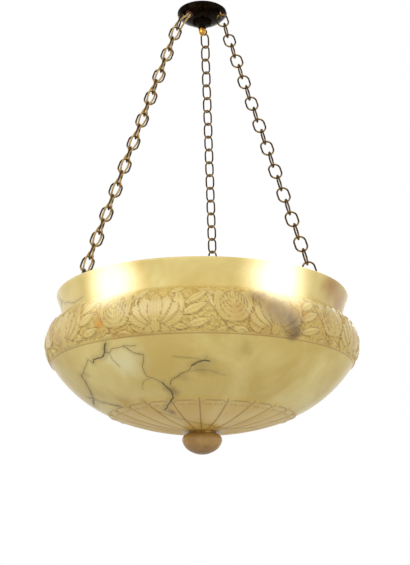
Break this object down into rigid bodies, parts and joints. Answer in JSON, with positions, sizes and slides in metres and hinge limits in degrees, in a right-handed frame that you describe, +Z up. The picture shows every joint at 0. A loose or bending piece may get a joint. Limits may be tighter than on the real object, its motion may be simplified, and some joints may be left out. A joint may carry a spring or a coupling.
{
  "type": "alabaster bowl pendant",
  "caption": "Pendant lamp: a waisted alabaster bowl with a carved frieze hung on link chains from a small bronze canopy, lit by lamps inside.",
  "frame": {"origin": "centre of the canopy's back face, on the ceiling", "axes": "+Z up, out of the back face into the ceiling; -Y to the front, +X to the right seen from the front"},
  "size_m": [0.3962, 0.396, 0.6152],
  "materials": {
    "alabaster": "polished, translucent, lit from within",
    "dark_bronze": "dark patina",
    "antique_brass": "antique, worn bright on the edges",
    "gilt_brass": "polished and lacquered",
    "zinc_steel": "zinc plated",
    "porcelain": "glazed",
    "bush_fibre": "moulded",
    "gold_fabric": "braided cotton over rubber",
    "lead_sleeve": "insulated lead",
    "lamp_cap_metal": "nickel plated",
    "lamp_glass": "opal"
  },
  "bodies": {
    "canopy": {"canopy_dish": "dark_bronze", "canopy_ribbed_cup": "dark_bronze", "canopy_collar": "dark_bronze", "ceiling_crossbar": "zinc_steel", "canopy_rod": "zinc_steel", "rod_nut": "zinc_steel", "earth_screw": "zinc_steel", "canopy_terminal_block": "porcelain", "terminal_screws": "zinc_steel", "flex_bush": "bush_fibre", "canopy_eye_nuts": "zinc_steel", "left_canopy_eye": "antique_brass", "right_canopy_eye": "antique_brass", "rear_canopy_eye": "antique_brass", "flex_in_canopy": "gold_fabric"},
    "acorn_nut": {"canopy_acorn_nut": "gilt_brass"},
    "left_top_link": {"left_top_link": "antique_brass", "flex_at_top_link": "gold_fabric"},
    "left_chain": {"left_chain": "antique_brass", "flex_along_chain": "gold_fabric"},
    "left_bottom_link": {"left_bottom_link": "antique_brass", "flex_at_bottom_link": "gold_fabric"},
    "right_top_link": {"right_top_link": "antique_brass"},
    "right_chain": {"right_chain": "antique_brass"},
    "right_bottom_link": {"right_bottom_link": "antique_brass"},
    "rear_top_link": {"rear_top_link": "antique_brass"},
    "rear_chain": {"rear_chain": "antique_brass"},
    "rear_bottom_link": {"rear_bottom_link": "antique_brass"},
    "bowl": {"alabaster_bowl": "alabaster", "alabaster_button": "alabaster", "button_disc": "antique_brass", "inner_disc": "antique_brass", "stud_nut": "zinc_steel", "through_stud": "zinc_steel", "cluster_spacer": "antique_brass", "hub_nut": "zinc_steel", "cluster_cup": "antique_brass", "cluster_lid": "antique_brass", "lid_nut": "antique_brass", "junction_terminal": "porcelain", "arm_leads": "lead_sleeve", "flex_in_bowl": "gold_fabric", "left_rim_hook": "antique_brass", "left_lamp_arm": "antique_brass", "left_lampholder": "antique_brass", "left_holder_insulator": "porcelain", "right_rim_hook": "antique_brass", "right_lamp_arm": "antique_brass", "right_lampholder": "antique_brass", "right_holder_insulator": "porcelain", "rear_rim_hook": "antique_brass", "rear_lamp_arm": "antique_brass", "rear_lampholder": "antique_brass", "rear_holder_insulator": "porcelain"},
    "left_lamp": {"left_lamp_cap": "lamp_cap_metal", "left_lamp_glass": "lamp_glass"},
    "right_lamp": {"right_lamp_cap": "lamp_cap_metal", "right_lamp_glass": "lamp_glass"},
    "rear_lamp": {"rear_lamp_cap": "lamp_cap_metal", "rear_lamp_glass": "lamp_glass"}
  },
  "joints": [
    {"name": "swing_fore_aft", "type": "hinge", "parent": "canopy", "child": "left_top_link", "pos_m": [-0.02936, -0.01277, -0.01414], "axis": [1, 0, 0], "range_deg": [-6, 6]},
    {"name": "swing_sideways", "type": "hinge", "parent": "left_top_link", "child": "left_chain", "pos_m": [-0.03464, -0.01506, -0.03152], "axis": [0, 1, 0], "range_deg": [-6, 6]},
    {"name": "left_bottom_link_tilt", "type": "hinge", "parent": "left_chain", "child": "left_bottom_link", "pos_m": [-0.14545, -0.06324, -0.39633], "axis": [1, 0, 0], "range_deg": [-1.23, 1.23]},
    {"name": "bowl_tilt", "type": "hinge", "parent": "left_bottom_link", "child": "bowl", "pos_m": [-0.15072, -0.06554, -0.4137], "axis": [0, 1, 0], "range_deg": [-1.4, 1.4]},
    {"name": "right_top_link_swing", "type": "hinge", "parent": "canopy", "child": "right_top_link", "pos_m": [0.02574, -0.01904, -0.01414], "axis": [1, 0, 0], "range_deg": [-6.1, 6.1]},
    {"name": "right_chain_swing", "type": "hinge", "parent": "right_top_link", "child": "right_chain", "pos_m": [0.03036, -0.02247, -0.03152], "axis": [0, 1, 0], "range_deg": [-6.1, 6.1]},
    {"name": "right_bottom_link_tilt", "type": "hinge", "parent": "right_chain", "child": "right_bottom_link", "pos_m": [0.12749, -0.09434, -0.39633], "axis": [1, 0, 0], "range_deg": [-1.23, 1.23]},
    {"name": "rear_top_link_swing", "type": "hinge", "parent": "canopy", "child": "rear_top_link", "pos_m": [0.00362, 0.03181, -0.01414], "axis": [1, 0, 0], "range_deg": [-6.1, 6.1]},
    {"name": "rear_chain_swing", "type": "hinge", "parent": "rear_top_link", "child": "rear_chain", "pos_m": [0.00428, 0.03753, -0.03152], "axis": [0, 1, 0], "range_deg": [-6.1, 6.1]},
    {"name": "rear_bottom_link_tilt", "type": "hinge", "parent": "rear_chain", "child": "rear_bottom_link", "pos_m": [0.01795, 0.15758, -0.39633], "axis": [1, 0, 0], "range_deg": [-1.23, 1.23]},
    {"name": "acorn_nut_turn", "type": "hinge", "parent": "canopy", "child": "acorn_nut", "pos_m": [0, 0, -0.03], "axis": [0, 0, 1], "continuous": true},
    {"name": "left_lamp_turn", "type": "hinge", "parent": "bowl", "child": "left_lamp", "pos_m": [-0.10546, -0.04586, -0.46], "axis": [0, 0, 1], "continuous": true},
    {"name": "right_lamp_turn", "type": "hinge", "parent": "bowl", "child": "right_lamp", "pos_m": [0.09244, -0.0684, -0.46], "axis": [0, 0, 1], "continuous": true},
    {"name": "rear_lamp_turn", "type": "hinge", "parent": "bowl", "child": "rear_lamp", "pos_m": [0.01302, 0.11426, -0.46], "axis": [0, 0, 1], "continuous": true}
  ],
  "couplings": [
    {"joint": "left_bottom_link_tilt", "follows": "swing_fore_aft", "ratio": -0.20186},
    {"joint": "bowl_tilt", "follows": "swing_sideways", "ratio": -0.22981},
    {"joint": "right_top_link_swing", "follows": "swing_fore_aft", "ratio": 1},
    {"joint": "right_chain_swing", "follows": "swing_sideways", "ratio": 1},
    {"joint": "right_bottom_link_tilt", "follows": "swing_fore_aft", "ratio": -0.20186},
    {"joint": "rear_top_link_swing", "follows": "swing_fore_aft", "ratio": 1},
    {"joint": "rear_chain_swing", "follows": "swing_sideways", "ratio": 1},
    {"joint": "rear_bottom_link_tilt", "follows": "swing_fore_aft", "ratio": -0.20186}
  ]
}
